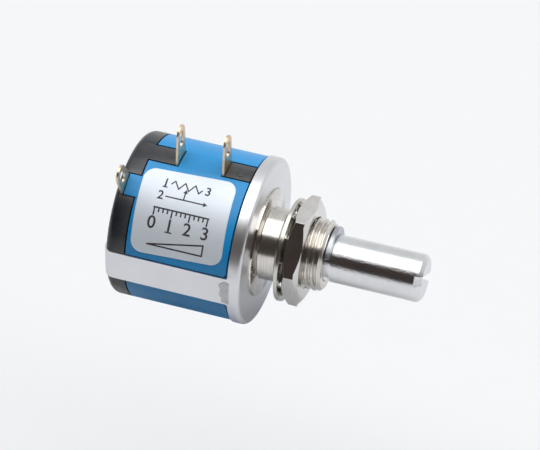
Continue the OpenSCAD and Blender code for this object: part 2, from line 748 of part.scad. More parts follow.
// Hexagon nut with both faces chamfered and its front corners tapered
module mounting_nut() {
  corner_r = nut_af / sqrt(3);
  face_r = nut_af / 2 - nut_edge;
  shoulder_r = corner_r - nut_corner_cut;
  back_drop = (corner_r + cut - face_r) * tan(30);
  front_drop = (shoulder_r - face_r) * tan(30);
  tip_x = max(back_drop + cut, nut_t - nut_taper_l);
  color("#c6c3bf") translate([nut_x, 0, 0]) at_clock(nut_clock) difference() {
    intersection() {
      along_shaft() cylinder(h = nut_t, r = corner_r, $fn = 6);
      along_shaft() rotate_extrude() polygon([
        [0, 0], [face_r, 0], [corner_r + cut, back_drop], [corner_r + cut, tip_x],
        [shoulder_r, nut_t - front_drop], [face_r, nut_t], [0, nut_t]]);
    }
    tube_x(-cut, nut_t + cut, thread_d / 2 + nut_clear);
  }
}

front_lid();
bushing();
housing();
rear_cap();
front_insulator();
label();
terminal_1();
terminal_2();
terminal_3();
resistance_element();
collector_brush();
rear_bearing();
thrust_washer();
shim_washer();
shaft();
rotor();
rotor_pin();
collector_rail();
slip_ring();
retaining_ring();
wiper_carriage();
wiper_contact();
rail_contact();
lock_washer();
mounting_nut();
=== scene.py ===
"""Looks of a three-turn rotary potentiometer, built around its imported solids."""

import json
import math

import bpy
from bpy.props import BoolProperty, FloatProperty, FloatVectorProperty, PointerProperty
from mathutils import Matrix, Vector, noise
from mathutils.bvhtree import BVHTree


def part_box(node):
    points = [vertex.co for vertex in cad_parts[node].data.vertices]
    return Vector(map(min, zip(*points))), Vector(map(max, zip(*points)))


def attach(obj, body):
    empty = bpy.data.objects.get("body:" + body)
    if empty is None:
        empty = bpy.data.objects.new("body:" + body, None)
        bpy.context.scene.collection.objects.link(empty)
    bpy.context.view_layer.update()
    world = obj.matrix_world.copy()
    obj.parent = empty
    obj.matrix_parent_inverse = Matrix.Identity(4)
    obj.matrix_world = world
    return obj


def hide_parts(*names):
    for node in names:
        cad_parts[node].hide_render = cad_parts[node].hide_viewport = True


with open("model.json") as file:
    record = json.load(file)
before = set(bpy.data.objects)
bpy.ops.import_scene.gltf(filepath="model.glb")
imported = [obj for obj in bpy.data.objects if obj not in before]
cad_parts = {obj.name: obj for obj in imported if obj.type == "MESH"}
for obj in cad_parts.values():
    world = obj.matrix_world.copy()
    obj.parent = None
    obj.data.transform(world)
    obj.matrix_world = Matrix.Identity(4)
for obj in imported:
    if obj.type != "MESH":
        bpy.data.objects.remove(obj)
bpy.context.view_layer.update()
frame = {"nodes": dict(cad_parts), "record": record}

bl_info = {
    "name": "Rotary potentiometer",
    "version": (1, 0, 0),
    "blender": (4, 5, 0),
    "location": "3D View > Sidebar > Potentiometer",
    "description": "Dresses a rotary potentiometer with its finishes, stage and camera",
    "category": "Object",
}

MM = 0.001
NODES = frame["nodes"]
BODY_OF = {
    node: body
    for body, members in frame["record"]["behaviour"]["bodies"].items()
    for node in members
}
SLOT_OF = {row["node"]: row["material_slot"] for row in frame["record"]["subparts"]}


def lowest(node):
    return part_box(node)[0]


def highest(node):
    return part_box(node)[1]


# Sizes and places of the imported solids, in metres and radians
BODY_R = 11.0 * MM
LID_R = highest("front_lid").z
LID_FACE_X = highest("front_lid").x
LID_BACK_X = highest("housing").x
LID_SEAT_R = 9.1 * MM
SHELL_INNER_R = 8.9 * MM
LEG_HALF_W = 2.175 * MM
LEG_MIN_Y = 10.2 * MM
ROOT_FILLET = 0.7 * MM
SHAFT_R = highest("shaft").z
SHAFT_END_X = highest("shaft").x
BUSHING_END_X = highest("bushing").x
LABEL_R = max(math.hypot(v.co.y, v.co.z) for v in NODES["label"].data.vertices)
LABEL_CLOCK = math.radians(42.7)

# Ends of the label's long lines, in millimetres on its unrolled plane
LABEL_LEFT = -13.1
LABEL_RIGHT = -5.7

# Small forms that the scene adds or corrects, in metres and radians
LID_GROOVE = 0.27 * MM
LEG_CLEARANCE = 0.05 * MM
SLOT_DEPTH = 0.95 * MM
GATE_X = -3.75 * MM
GATE_CLOCK = math.radians(2.6)
GATE_ARC_R = 0.42 * MM
GATE_LINE_R = 0.1 * MM

# Limits for comparing and merging points, in metres, and for edges, in degrees
TOLERANCE = 0.01 * MM
MERGE_DISTANCE = 1e-7
FLAT_ANGLE = 0.4
SHARP_ANGLE = 32.0

# Camera fitted to the photograph, in degrees, metres and lens millimetres
CAMERA_AZIMUTH = 17.303
CAMERA_ELEVATION = 41.398
CAMERA_ROLL = 1.507
CAMERA_DISTANCE = 335.64 * MM
CAMERA_TARGET = Vector((-0.271, 1.479, 1.693)) * MM
CAMERA_LENS = 171.07

# Depth of the fine relief in a finish, in metres, and scales given per millimetre
MARK_DEPTH = 0.01 * MM
SKIN_DEPTH = 0.02 * MM
GRIT_DEPTH = 0.06 * MM
PER_MM = 1000.0


# Object and mesh helpers


def select_only(obj):
    """Makes obj the one selected and active object."""
    bpy.ops.object.select_all(action="DESELECT")
    obj.select_set(True)
    bpy.context.view_layer.objects.active = obj


def start_edit(obj, mode="VERT"):
    select_only(obj)
    bpy.ops.object.mode_set(mode="EDIT")
    bpy.ops.mesh.select_mode(type=mode)
    bpy.ops.mesh.select_all(action="DESELECT")


def end_edit():
    bpy.ops.object.mode_set(mode="OBJECT")


def apply_place(obj):
    """Moves an object's place into its mesh."""
    select_only(obj)
    bpy.ops.object.transform_apply(location=True, rotation=True, scale=True)


def apply_modifier(obj, kind, **values):
    select_only(obj)
    modifier = obj.modifiers.new(kind.title(), kind)
    for key, value in values.items():
        setattr(modifier, key, value)
    bpy.ops.object.modifier_apply(modifier=modifier.name)


def soften_edges(obj, width, angle):
    """Rounds the edges of a closed mesh that are sharper than an angle."""
    apply_modifier(
        obj,
        "BEVEL",
        width=width,
        segments=2,
        limit_method="ANGLE",
        angle_limit=math.radians(angle),
        use_clamp_overlap=True,
        miter_outer="MITER_ARC",
    )


def smooth(obj, angle):
    select_only(obj)
    bpy.ops.object.shade_smooth_by_angle(angle=math.radians(angle))


def outward_at(clock):
    """Direction away from the shaft axis, at an angle from the top."""
    return Vector((0, -math.sin(clock), math.cos(clock)))


def place_piece(obj, name, body, slot, *nodes):
    """Names a finished piece, makes it ride on its body and stand for its nodes."""
    obj.name = name
    obj.data.name = name
    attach(obj, body)
    if nodes:
        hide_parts(*nodes)
    return obj


def dress(node, material):
    """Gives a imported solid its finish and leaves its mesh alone."""
    data = NODES[node].data
    data.materials.clear()
    data.materials.append(material)


def solid_copy(node, angle):
    """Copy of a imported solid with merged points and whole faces."""
    obj = NODES[node].copy()
    obj.data = NODES[node].data.copy()
    obj.parent = None
    for key in list(obj.keys()):
        if key.startswith("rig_"):
            del obj[key]
    bpy.context.scene.collection.objects.link(obj)
    start_edit(obj)
    bpy.ops.mesh.select_all(action="SELECT")
    bpy.ops.mesh.remove_doubles(threshold=MERGE_DISTANCE)
    bpy.ops.mesh.customdata_custom_splitnormals_clear()
    bpy.ops.mesh.dissolve_limited(angle_limit=math.radians(FLAT_ANGLE))
    end_edit()
    smooth(obj, angle)
    return obj


def open_joints(obj, gap, open_side):
    """Draws the joint faces of an outer shell back, so that fine dark lines part it.

    With an open side of 1, the faces that look backwards stay where they are.
    """
    moves = {}
    points = obj.data.vertices
    for face in obj.data.polygons:
        outward = Vector((0, face.center.y, face.center.z)).normalized()
        inmost = min(math.hypot(points[i].co.y, points[i].co.z) for i in face.vertices)
        looks_along_shell = abs(face.normal.dot(outward)) < 0.4
        if not looks_along_shell or inmost <= SHELL_INNER_R:
            continue
        if face.normal.x * open_side < -0.5:
            continue
        for index in face.vertices:
            known = moves.setdefault(index, [])
            if all(face.normal.dot(other) < 0.9 for other in known):
                known.append(face.normal.copy())
    for index, normals in moves.items():
        for normal in normals:
            points[index].co -= normal * gap


def finish_copy(
    node,
    material,
    edge=0.05 * MM,
    angle=SHARP_ANGLE,
    gap=0,
    open_side=0,
    reshape=None,
):
    """Rounded copy of a node, finished and standing for it."""
    obj = solid_copy(node, angle)
    if reshape:
        reshape(obj)
    if gap:
        open_joints(obj, gap, open_side)
    soften_edges(obj, edge, angle)
    smooth(obj, angle)
    apply_modifier(obj, "WEIGHTED_NORMAL", keep_sharp=True)
    obj.data.materials.clear()
    obj.data.materials.append(material)
    return place_piece(obj, node + "_finished", BODY_OF[node], SLOT_OF[node], node)


def tighten_leg_roots(obj, radius, gap):
    """Draws the corners where the legs leave the lid in to a smaller radius.

    The gap is how far the piece stands clear of the lid's own corner.
    """
    share = radius / ROOT_FILLET
    inner_z = LEG_HALF_W + gap
    for vertex in obj.data.vertices:
        x, y, z = vertex.co
        side = abs(z) - inner_z
        back = LID_BACK_X - gap - x
        beside_leg = -TOLERANCE < side < ROOT_FILLET + TOLERANCE
        behind_lid = -gap - 2 * TOLERANCE < back < ROOT_FILLET + TOLERANCE
        if not (beside_leg and behind_lid and abs(y) > LEG_MIN_Y):
            continue
        if back > 0:
            vertex.co.x = LID_BACK_X - gap - back * share
        vertex.co.z = math.copysign(inner_z + max(side, 0) * share, z)
        for skin_r in (BODY_R, LID_R):
            if abs(math.hypot(y, z) - skin_r) < TOLERANCE / 2:
                skin_y = math.sqrt(skin_r ** 2 - vertex.co.z ** 2)
                vertex.co.y = math.copysign(skin_y, y)


def draw_profile(stations):
    """Chain of edges through (x, radius) stations in the plane above the shaft axis."""
    x, r = stations[0]
    bpy.ops.mesh.primitive_plane_add(size=0.1 * MM, location=(x, 0, r))
    obj = bpy.context.active_object
    apply_place(obj)
    bpy.ops.object.mode_set(mode="EDIT")
    bpy.ops.mesh.select_mode(type="VERT")
    bpy.ops.mesh.select_all(action="SELECT")
    bpy.ops.mesh.merge(type="CENTER")
    for (x0, r0), (x1, r1) in zip(stations, stations[1:]):
        bpy.ops.mesh.extrude_region_move(
            TRANSFORM_OT_translate={"value": (x1 - x0, 0, r1 - r0)}
        )
    return obj


def turn(stations, steps):
    """Solid of revolution about the shaft axis from (x, radius) stations."""
    obj = draw_profile(stations + [stations[0]])
    bpy.ops.mesh.select_all(action="SELECT")
    bpy.ops.mesh.remove_doubles(threshold=MERGE_DISTANCE)
    bpy.ops.mesh.select_all(action="SELECT")
    bpy.ops.mesh.spin(steps=steps, angle=2 * math.pi, center=(0, 0, 0), axis=(1, 0, 0))
    bpy.ops.mesh.select_all(action="SELECT")
    bpy.ops.mesh.remove_doubles(threshold=MERGE_DISTANCE)
    bpy.ops.mesh.normals_make_consistent(inside=False)
    end_edit()
    return obj


def between(start, end, count):
    """Evenly spaced values from start to end, both included."""
    return [start + (end - start) * i / count for i in range(count + 1)]


# Shader helpers


def new_material(name):
    material = bpy.data.materials.new(name)
    material.use_nodes = True
    tree = material.node_tree
    return material, tree, tree.nodes["Principled BSDF"]


def feed(tree, socket, value):
    """Links an output to a socket, or sets the socket to a constant."""
    if isinstance(value, bpy.types.NodeSocket):
        tree.links.new(value, socket)
    else:
        socket.default_value = value


def add(tree, kind, **values):
    """New node with its sockets fed and its other settings made."""
    node = tree.nodes.new(kind)
    for key, value in values.items():
        if key in node.inputs:
            feed(tree, node.inputs[key], value)
        else:
            setattr(node, key, value)
    return node


def maths(tree, operation, a, b=None):
    node = add(tree, "ShaderNodeMath", operation=operation)
    for socket, value in zip(node.inputs, (a, b)):
        if value is not None:
            feed(tree, socket, value)
    return node.outputs[0]


def ramp(tree, stops, source):
    """Colour ramp between two (position, colour) stops."""
    node = add(tree, "ShaderNodeValToRGB", Fac=source)
    for element, (position, color) in zip(node.color_ramp.elements, stops):
        element.position = position
        element.color = (*color, 1)
    return node.outputs["Color"]


def drift(tree, low, high, mask):
    """Goes from one tone to another over the middle of a mask."""
    return ramp(tree, [(0.3, low), (0.7, high)], mask)


def map_range(tree, value, source, target, **values):
    """Carries a value from one range to another and holds it at the ends."""
    ends = zip(("From Min", "From Max", "To Min", "To Max"), (*source, *target))
    node = add(tree, "ShaderNodeMapRange", Value=value, **dict(ends), **values)
    return node.outputs[0]


def mix_colors(tree, factor, first, second, **values):
    """Mix of two colours, each a constant with alpha or an output."""
    node = add(tree, "ShaderNodeMix", data_type="RGBA", **values)
    feed(tree, node.inputs["Factor"], factor)
    feed(tree, node.inputs[6], first)
    feed(tree, node.inputs[7], second)
    return node.outputs[2]


def axes_of(tree, coordinates="Object"):
    """X, Y and Z of a texture coordinate."""
    place = add(tree, "ShaderNodeTexCoord")
    split = add(tree, "ShaderNodeSeparateXYZ", Vector=place.outputs[coordinates])
    return [split.outputs[axis] for axis in "XYZ"]


def new_group(name, inputs, outputs):
    """Empty shader node group with number inputs and outputs."""
    group = bpy.data.node_groups.new(name, "ShaderNodeTree")
    for label, default in inputs:
        socket = group.interface.new_socket(
            name=label, in_out="INPUT", socket_type="NodeSocketFloat"
        )
        socket.default_value = default
    for label in outputs:
        group.interface.new_socket(
            name=label, in_out="OUTPUT", socket_type="NodeSocketFloat"
        )
    enter = group.nodes.new("NodeGroupInput")
    leave = group.nodes.new("NodeGroupOutput")
    return group, enter, leave


def build_fine_grain():
    """Small even texture of a moulded or plated skin: a mask and a height."""
    group, enter, leave = new_group(
        "Fine grain", [("Scale", 2.0), ("Detail", 3.0)], ["Mask", "Height"]
    )
    place = add(group, "ShaderNodeTexCoord").outputs["Object"]
    fine = add(
        group,
        "ShaderNodeTexNoise",
        Vector=place,
        Scale=maths(group, "MULTIPLY", enter.outputs["Scale"], PER_MM),
        Detail=enter.outputs["Detail"],
        Roughness=0.6,
    )
    broad = add(
        group,
        "ShaderNodeTexNoise",
        Vector=place,
        Scale=0.17 * PER_MM,
        Detail=4.0,
        Roughness=0.55,
    )
    group.links.new(fine.outputs["Fac"], leave.inputs["Height"])
    group.links.new(broad.outputs["Fac"], leave.inputs["Mask"])
    return group


def build_turned_marks():
    """Fine rings round the shaft axis, as a lathe leaves them: a mask and a height."""
    group, enter, leave = new_group(
        "Turned marks", [("Fineness", 9.0), ("Wander", 0.15)], ["Mask", "Height"]
    )
    place = add(group, "ShaderNodeTexCoord").outputs["Object"]
    split = add(group, "ShaderNodeSeparateXYZ", Vector=place)
    x, y, z = (split.outputs[axis] for axis in "XYZ")
    squares = maths(
        group, "ADD", maths(group, "POWER", y, 2.0), maths(group, "POWER", z, 2.0)
    )
    radius = maths(group, "SQRT", squares)
    along = maths(group, "ADD", x, radius)
    across = maths(group, "SUBTRACT", x, radius)
    clock = maths(group, "ARCTAN2", y, z)
    stretch = maths(group, "MULTIPLY", enter.outputs["Fineness"], PER_MM)
    unrolled = add(
        group,
        "ShaderNodeCombineXYZ",
        X=maths(group, "MULTIPLY", along, stretch),
        Y=maths(group, "MULTIPLY", across, stretch),
        Z=maths(group, "MULTIPLY", clock, enter.outputs["Wander"]),
    )
    rings = add(
        group,
        "ShaderNodeTexNoise",
        Vector=unrolled.outputs[0],
        Scale=1.0,
        Detail=3.0,
        Roughness=0.65,
    )
    patches = add(
        group,
        "ShaderNodeTexNoise",
        Vector=place,
        Scale=0.42 * PER_MM,
        Detail=5.0,
        Roughness=0.6,
    )
    both = maths(group, "ADD", patches.outputs["Fac"], rings.outputs["Fac"])
    group.links.new(rings.outputs["Fac"], leave.inputs["Height"])
    group.links.new(maths(group, "MULTIPLY", both, 0.5), leave.inputs["Mask"])
    return group


def build_edge_wear():
    """Mask that is bright along outer edges, where a paler colour paints a highlight.
    """
    group, enter, leave = new_group(
        "Painted edge highlight", [("Reach", 0.04), ("Breakup", 0.5)], ["Mask"]
    )
    highlight_breakup = add(
        group,
        "ShaderNodeTexNoise",
        Vector=add(group, "ShaderNodeTexCoord").outputs["Object"],
        Scale=0.9 * PER_MM,
        Detail=4.0,
        Roughness=0.7,
    )
    form = add(group, "ShaderNodeNewGeometry")
    # Pointiness lifts the mask on every convex edge; the paler colour there is a
    # painted highlight
    lifted = maths(group, "SUBTRACT", form.outputs["Pointiness"], 0.5)
    strength = maths(group, "DIVIDE", lifted, enter.outputs["Reach"])
    highlight_gaps = maths(group, "MULTIPLY", highlight_breakup.outputs["Fac"], enter.outputs["Breakup"])
    edge = add(
        group, "ShaderNodeClamp", Value=maths(group, "SUBTRACT", strength, highlight_gaps)
    )
    group.links.new(edge.outputs[0], leave.inputs["Mask"])
    return group


BUILDERS = {
    "Fine grain": build_fine_grain,
    "Turned marks": build_turned_marks,
    "Painted edge highlight": build_edge_wear,
}
GROUPS = {}


def effect(tree, name, **values):
    """Places a shared effect in a material with its own values."""
    if name not in GROUPS:
        GROUPS[name] = BUILDERS[name]()
    node = tree.nodes.new("ShaderNodeGroup")
    node.node_tree = GROUPS[name]
    for key, value in values.items():
        node.inputs[key].default_value = value
    return node


def bump(tree, shader, height, strength, distance):
    """Raises the surface by a height, on top of any relief it already has."""
    node = add(
        tree, "ShaderNodeBump", Height=height, Strength=strength, Distance=distance
    )
    known = shader.inputs["Normal"].links
    if known:
        tree.links.new(known[0].from_socket, node.inputs["Normal"])
    tree.links.new(node.outputs["Normal"], shader.inputs["Normal"])


def tint(tree, shader, low, high, mask):
    """Colour that drifts between two tones over the surface."""
    color = drift(tree, low, high, mask)
    tree.links.new(color, shader.inputs["Base Color"])
    return color


def vary_roughness(tree, shader, low, high, mask):
    value = drift(tree, (low, low, low), (high, high, high), mask)
    tree.links.new(value, shader.inputs["Roughness"])


def metal(name, low, high, rough, marks=0.25, fineness=9.0, turned=True, grit=0):
    """Plated or turned metal with fine marks, dull patches and a gritty skin.

    With a roughness of None, the caller feeds the shader's own.
    """
    material, tree, shader = new_material(name)
    shader.inputs["Metallic"].default_value = 1.0
    if turned:
        lines = effect(tree, "Turned marks", Fineness=fineness)
    else:
        lines = effect(tree, "Fine grain", Scale=fineness)
    tint(tree, shader, low, high, lines.outputs["Mask"])
    if rough is not None:
        vary_roughness(tree, shader, rough * 0.8, rough * 1.25, lines.outputs["Mask"])
    bump(tree, shader, lines.outputs["Height"], marks, MARK_DEPTH)
    if grit:
        skin = effect(tree, "Fine grain", Scale=4.0, Detail=3.0)
        bump(tree, shader, skin.outputs["Height"], grit, GRIT_DEPTH)
    return material


def plastic(name, low, high, rough, scale=6.0, edge_highlight=None):
    """Moulded plastic with a fine skin and, when asked, paler edges that are a painted
    highlight.
    """
    material, tree, shader = new_material(name)
    skin = effect(tree, "Fine grain", Scale=scale)
    color = tint(tree, shader, low, high, skin.outputs["Mask"])
    if edge_highlight:
        # Paler colour along the outer edges: a painted highlight
        edges = effect(tree, "Painted edge highlight", Reach=0.05)
        highlighted_color = mix_colors(tree, edges.outputs["Mask"], color, (*edge_highlight, 1))
        tree.links.new(highlighted_color, shader.inputs["Base Color"])
    vary_roughness(tree, shader, rough * 0.85, rough * 1.2, skin.outputs["Mask"])
    bump(tree, shader, skin.outputs["Height"], 0.12, SKIN_DEPTH)
    return material


# Sizes and colours that a user may change


class PotBodySettings(bpy.types.PropertyGroup):
    """Finish of the moulded body, the lid and the label."""

    edge_round: FloatProperty(
        name="Moulded edge",
        description="Width of the rounded edges of the moulded pieces",
        default=0.05 * MM,
        unit="LENGTH",
        precision=6,
    )
    joint_line: FloatProperty(
        name="Joint line",
        description="How far each moulded piece stands back from a joint",
        default=0.1 * MM,
        unit="LENGTH",
        precision=6,
    )
    root_round: FloatProperty(
        name="Leg root round",
        description="Radius of the inner corners where a leg leaves the lid",
        default=0.28 * MM,
        unit="LENGTH",
        precision=6,
    )
    blue: FloatVectorProperty(
        name="Housing colour",
        description="Colour of the moulded housing",
        subtype="COLOR",
        default=(0.011, 0.295, 0.68),
    )
    black: FloatVectorProperty(
        name="Cap colour",
        description="Colour of the rear cap and the front insulator",
        subtype="COLOR",
        default=(0.010, 0.015, 0.021),
    )
    aluminium: FloatVectorProperty(
        name="Lid colour",
        description="Colour of the pressed lid and its legs",
        subtype="COLOR",
        default=(0.80, 0.80, 0.82),
    )


class PotThreadSettings(bpy.types.PropertyGroup):
    """Form of the mounting thread."""

    pitch: FloatProperty(
        name="Pitch",
        description="Distance between two thread crests",
        default=25.4 / 32 * MM,
        unit="LENGTH",
        precision=6,
    )
    depth: FloatProperty(
        name="Depth",
        description="Depth of the thread below its crest",
        default=0.44 * MM,
        unit="LENGTH",
        precision=6,
    )
    crest_r: FloatProperty(
        name="Crest radius",
        description="Radius of the thread's crests",
        default=9.525 / 2 * MM,
        unit="LENGTH",
        precision=6,
    )


class PotLabelSettings(bpy.types.PropertyGroup):
    """Print on the foil label."""

    ink: FloatVectorProperty(
        name="Ink colour",
        description="Colour of the printed marks",
        subtype="COLOR",
        default=(0.035, 0.035, 0.045),
    )
    show_print: BoolProperty(
        name="Print",
        description="Draw the circuit symbol and the turns scale on the label",
        default=True,
    )


class PotStageSettings(bpy.types.PropertyGroup):
    """Floor, light and camera."""

    floor_color: FloatVectorProperty(
        name="Floor colour",
        description="Colour of the plain floor",
        subtype="COLOR",
        default=(0.855, 0.868, 0.882),
    )
    floor_drop: FloatProperty(
        name="Floor drop",
        description="Distance of the floor below the shaft axis",
        default=60 * MM,
        unit="LENGTH",
    )
    box_strength: FloatProperty(
        name="Overhead light",
        description="Brightness of the overhead soft box",
        default=2.1,
        min=0.0,
    )


def settings(name):
    return getattr(bpy.context.scene, name)


def mixed(color, factor):
    return tuple(channel * factor for channel in color)


# Operators, one for each piece or group of like pieces


class POT_OT_moulded_body(bpy.types.Operator):
    """Finish the housing, the rear cap and the front insulator"""

    bl_idname = "pot.moulded_body"
    bl_label = "Moulded body"

    def execute(self, context):
        look = settings("pot_body")
        blue = plastic(
            "Blue housing", mixed(look.blue, 0.92), mixed(look.blue, 1.08), 0.34
        )
        black = plastic(
            "Black moulding",
            mixed(look.black, 0.85),
            mixed(look.black, 1.2),
            0.3,
            # Pale grey painted highlight along the edges of the cap and the insulator
            edge_highlight=(0.09, 0.09, 0.095),
        )
        shared = {"gap": look.joint_line, "edge": look.edge_round}
        finish_copy("housing", blue, reshape=self.shape_housing_front, **shared)
        finish_copy(
            "rear_cap", black, open_side=1, reshape=self.ring_flat_back, **shared
        )
        finish_copy(
            "front_insulator",
            black,
            reshape=lambda obj: self.sink_front(obj, LID_GROOVE),
            **shared,
        )
        self.gate_mark(black)
        return {"FINISHED"}

    def shape_housing_front(self, housing):
        """Fits the housing's front end to the lid and its legs.

        Opening the joints draws this end back as well, so it sinks that much less.
        """
        look = settings("pot_body")
        tighten_leg_roots(housing, look.root_round, LEG_CLEARANCE)
        self.sink_front(housing, LID_GROOVE - look.joint_line)

    def sink_front(self, obj, depth):
        """Draws back the edge that meets the lid, which leaves a dark groove there."""
        for vertex in obj.data.vertices:
            at_lid = vertex.co.x > LID_BACK_X - TOLERANCE
            if at_lid and math.hypot(vertex.co.y, vertex.co.z) > LID_SEAT_R:
                vertex.co.x -= depth

    def gate_mark(self, black):
        """Small raised arc that the mould leaves on the insulator's tab."""
        place = Vector((GATE_X, 0, 0)) + outward_at(GATE_CLOCK) * BODY_R
        bpy.ops.object.select_all(action="DESELECT")
        bpy.ops.mesh.primitive_torus_add(
            major_segments=40,
            minor_segments=10,
            major_radius=GATE_ARC_R,
            minor_radius=GATE_LINE_R,
            location=place,
            rotation=(GATE_CLOCK, 0, 0),
        )
        mark = bpy.context.active_object
        apply_place(mark)
        start_edit(mark, "FACE")
        bpy.ops.mesh.select_all(action="SELECT")
        bpy.ops.mesh.bisect(
            plane_co=place,
            plane_no=(0, math.cos(GATE_CLOCK), math.sin(GATE_CLOCK)),
            clear_outer=True,
            use_fill=True,
        )
        end_edit()
        mark.data.materials.append(black)
        smooth(mark, 50)
        place_piece(mark, "gate_mark", "case", SLOT_OF["front_insulator"])

    def ring_flat_back(self, cap):
        """Insets the flat back, so that the painted edge highlight stays close to its
        edge.
        """
        large = 50 * MM ** 2
        start_edit(cap, "FACE")
        end_edit()
        for face in cap.data.polygons:
            face.select = face.normal.x < -0.99 and face.area > large
        bpy.ops.object.mode_set(mode="EDIT")
        bpy.ops.mesh.inset(thickness=0.3 * MM)
        end_edit()


class POT_OT_lid(bpy.types.Operator):
    """Finish the pressed lid with its folded legs"""

    bl_idname = "pot.lid"
    bl_label = "Lid"

    def execute(self, context):
        look = settings("pot_body")
        lid = finish_copy(
            "front_lid",
            self.lid_metal(look),
            edge=0.06 * MM,
            reshape=lambda obj: tighten_leg_roots(obj, look.root_round, 0),
        )
        self.stake_leg(lid, look)
        return {"FINISHED"}

    def lid_metal(self, look):
        """Satin aluminium that is a little smoother on the front face."""
        material, tree, shader = new_material("Drawn aluminium")
        shader.inputs["Metallic"].default_value = 1.0
        skin = effect(tree, "Fine grain", Scale=14.0)
        low = mixed(look.aluminium, 0.92)
        tint(tree, shader, low, look.aluminium, skin.outputs["Mask"])
        base = map_range(
            tree,
            axes_of(tree)[0],
            (LID_FACE_X - 0.3 * MM, LID_FACE_X - 0.02 * MM),
            (0.3, 0.25),
            interpolation_type="SMOOTHSTEP",
        )
        patches = maths(tree, "MULTIPLY", skin.outputs["Mask"], 0.08)
        rough = maths(tree, "ADD", base, patches)
        tree.links.new(rough, shader.inputs["Roughness"])
        bump(tree, shader, skin.outputs["Height"], 0.06, MARK_DEPTH)
        return material

    def stake_leg(self, lid, look):
        """Rough staked patch where the leg on the viewer's side leaves the rim."""
        # Place, outline and relief of the patch, in millimetres and degrees
        front_x, middle_clock, reach = -1.68, 90.5, 18.5
        wide, waist, raggedness = 1.25, 1.1, 0.45
        thinnest, relief = 0.015, 0.05
        bpy.ops.object.select_all(action="DESELECT")
        bpy.ops.mesh.primitive_grid_add(x_subdivisions=22, y_subdivisions=56, size=1.0)
        patch = bpy.context.active_object
        surface = BVHTree.FromPolygons(
            [v.co.copy() for v in lid.data.vertices],
            [list(f.vertices) for f in lid.data.polygons],
        )
        for vertex in patch.data.vertices:
            along, across = vertex.co.x, vertex.co.y
            ragged = noise.noise(Vector((across * 5, 3.1, 0.0))) * raggedness
            width = wide + ragged - waist * across ** 2
            x = (front_x + (along - 0.5) * width) * MM
            clock = math.radians(middle_clock + across * reach)
            outward = outward_at(clock)
            start = Vector((x, 0, 0)) + outward * 20 * MM
            hit = surface.ray_cast(start, -outward)[0]
            edge = max(abs(along), abs(across)) * 2
            height = noise.fractal(Vector((x / MM * 3, clock * 30, 0)), 0.8, 2.1, 4)
            lift = thinnest + relief * max(0.0, height + 0.35)
            vertex.co = hit + outward * lift * MM * min(1.0, (1.02 - edge) * 8)
        apply_modifier(patch, "SOLIDIFY", thickness=0.05 * MM, offset=-1.0)
        dull = metal(
            "Staked aluminium",
            mixed(look.aluminium, 0.56),
            mixed(look.aluminium, 0.88),
            0.45,
            marks=1.0,
            fineness=5.0,
            turned=False,
        )
        patch.data.materials.append(dull)
        smooth(patch, 60)
        place_piece(patch, "stake_mark", "case", "aluminium_lid")


class POT_OT_bushing(bpy.types.Operator):
    """Turn the bushing and cut its thread"""

    bl_idname = "pot.bushing"
    bl_label = "Bushing"

    def execute(self, context):
        thread = settings("pot_thread")
        low_x = lowest("bushing").x
        bore = SHAFT_R + 0.03 * MM
        relief_r = 4.3 * MM
        start = 2.95 * MM
        end = BUSHING_END_X
        cuts = 16 * round((end - start) / thread.pitch)
        # Stations as (x, radius), in millimetres
        tail = [(-1.95, 5.9), (-1.95, 5.2), (-1.0, 5.2)]
        flange = [(-1.0, 7.2), (-0.16, 7.2), (-0.05, 7.16), (0, 7.04), (0, 5.05)]
        barrel = [(0.06, 4.9), (0.2, 4.85), (2.3, 4.85), (2.36, 4.78), (2.36, 4.3)]
        stations = [(low_x, bore), (low_x, 5.9 * MM)]
        stations += [(x * MM, r * MM) for x, r in tail + flange + barrel]
        stations += [(start - 0.02 * MM, relief_r)]
        stations += [(x, thread.crest_r) for x in between(start, end - TOLERANCE, cuts)]
        stations += [(end, 4.25 * MM), (end, bore + 0.12 * MM), (end - 0.12 * MM, bore)]
        obj = turn(stations, steps=144)
        self.cut_thread(obj, thread, start, end, relief_r)
        obj.data.materials.append(self.nickel())
        smooth(obj, 38)
        place_piece(obj, "bushing_turned", "case", "nickel_bushing", "bushing")
        return {"FINISHED"}

    def nickel(self):
        """Nickel plate, bright on the flange and satin along the barrel and thread."""
        low, high = (0.52, 0.49, 0.45), (0.88, 0.85, 0.80)
        plate = metal("Nickel bushing", low, high, None, marks=0.6, fineness=4.0)
        tree = plate.node_tree
        along = (0.02 * MM, 0.25 * MM)
        rough = map_range(tree, axes_of(tree)[0], along, (0.09, 0.2))
        tree.links.new(rough, tree.nodes["Principled BSDF"].inputs["Roughness"])
        return plate

    def cut_thread(self, obj, thread, start, end, root_r):
        """Sinks a helical V between the crests and lets it run out at both ends."""
        # Half the V's width in pitches, and how far its sides pass the flat root
        half_open, flat_root = 0.42, 1.15
        for vertex in obj.data.vertices:
            x, y, z = vertex.co
            r = math.hypot(y, z)
            if x < start - 0.001 * MM or r < 4.5 * MM:
                continue
            turn_share = math.atan2(y, z) / (2 * math.pi)
            phase = (x / thread.pitch + turn_share) % 1.0
            flank = max(0.0, 1 - abs(phase - 0.5) / half_open)
            sink = min(flank * flat_root, 1.0) * thread.depth
            runout = min(1.0, (x - start) / (0.5 * thread.pitch) + 0.2)
            radius = thread.crest_r - sink * runout
            radius = min(radius, root_r + (end - x))
            radius = min(radius, root_r + (x - start) * 1.2 + 0.05 * MM)
            vertex.co.y = y * radius / r
            vertex.co.z = z * radius / r


